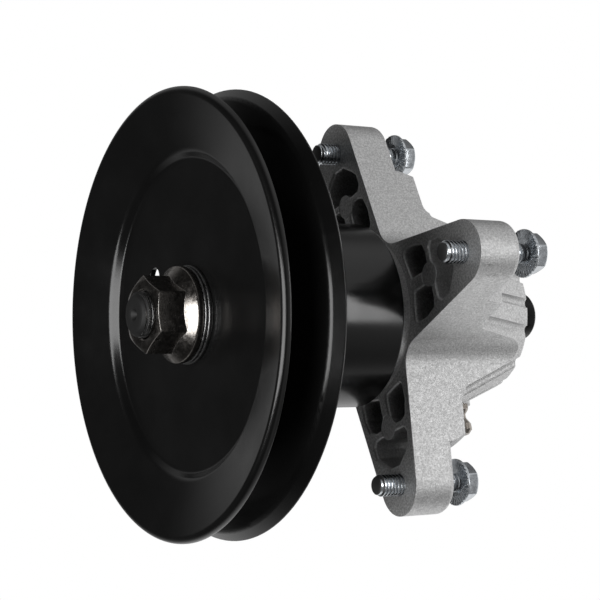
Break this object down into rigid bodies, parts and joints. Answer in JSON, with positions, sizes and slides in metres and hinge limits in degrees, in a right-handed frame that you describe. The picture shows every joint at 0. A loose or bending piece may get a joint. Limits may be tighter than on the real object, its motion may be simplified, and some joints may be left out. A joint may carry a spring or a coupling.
{
  "type": "mower deck spindle assembly",
  "caption": "Four-arm cast bearing housing with a shaft on ball bearings that carries a belt pulley, a dust cup and a blade end.",
  "frame": {"origin": "on the shaft axis, in the plane of the arms' deck faces", "axes": "+Z along the shaft to the pulley, +X and +Y along two of the four arms"},
  "size_m": [0.1588, 0.1588, 0.1669],
  "materials": {
    "cast_aluminium": "as cast, grainy",
    "black_paint": "gloss black paint",
    "dark_steel": "dark oiled steel",
    "nut_nickel": "dark plated",
    "shaft_steel": "dark phosphated",
    "bearing_steel": "ground bright",
    "cage_steel": "pressed sheet",
    "seal_rubber": "matt",
    "spring_steel": "phosphated",
    "zinc_plate": "bright zinc",
    "fitting_plate": "dark nickel"
  },
  "bodies": {
    "housing": {"housing_casting": "cast_aluminium", "upper_outer_race": "bearing_steel", "lower_outer_race": "bearing_steel", "upper_bearing_seals": "seal_rubber", "lower_bearing_seals": "seal_rubber", "retaining_ring": "spring_steel", "lower_dust_shield": "black_paint", "deck_bolts": "zinc_plate", "grease_fitting": "fitting_plate", "grease_fitting_ball": "bearing_steel"},
    "spindle": {"spindle_shaft": "shaft_steel", "dust_cup": "black_paint", "pulley_front_disc": "black_paint", "pulley_rear_disc": "black_paint", "pulley_hub": "dark_steel", "hub_washer": "dark_steel", "spring_washer": "dark_steel", "flange_nut": "nut_nickel", "upper_spacer": "dark_steel", "bearing_spacer_tube": "dark_steel", "upper_inner_race": "bearing_steel", "lower_inner_race": "bearing_steel"},
    "upper_ball_set": {"upper_balls": "bearing_steel", "upper_cage": "cage_steel"},
    "lower_ball_set": {"lower_balls": "bearing_steel", "lower_cage": "cage_steel"}
  },
  "joints": [
    {"name": "spindle_spin", "type": "hinge", "parent": "housing", "child": "spindle", "pos_m": [0, 0, 0], "axis": [0, 0, 1], "continuous": true},
    {"name": "upper_ball_set_roll", "type": "hinge", "parent": "housing", "child": "upper_ball_set", "pos_m": [0, 0, 0.0536], "axis": [0, 0, 1], "continuous": true},
    {"name": "lower_ball_set_roll", "type": "hinge", "parent": "housing", "child": "lower_ball_set", "pos_m": [0, 0, -0.0435], "axis": [0, 0, 1], "continuous": true}
  ],
  "couplings": [
    {"joint": "upper_ball_set_roll", "follows": "spindle_spin", "ratio": 0.3815},
    {"joint": "lower_ball_set_roll", "follows": "spindle_spin", "ratio": 0.3815}
  ]
}
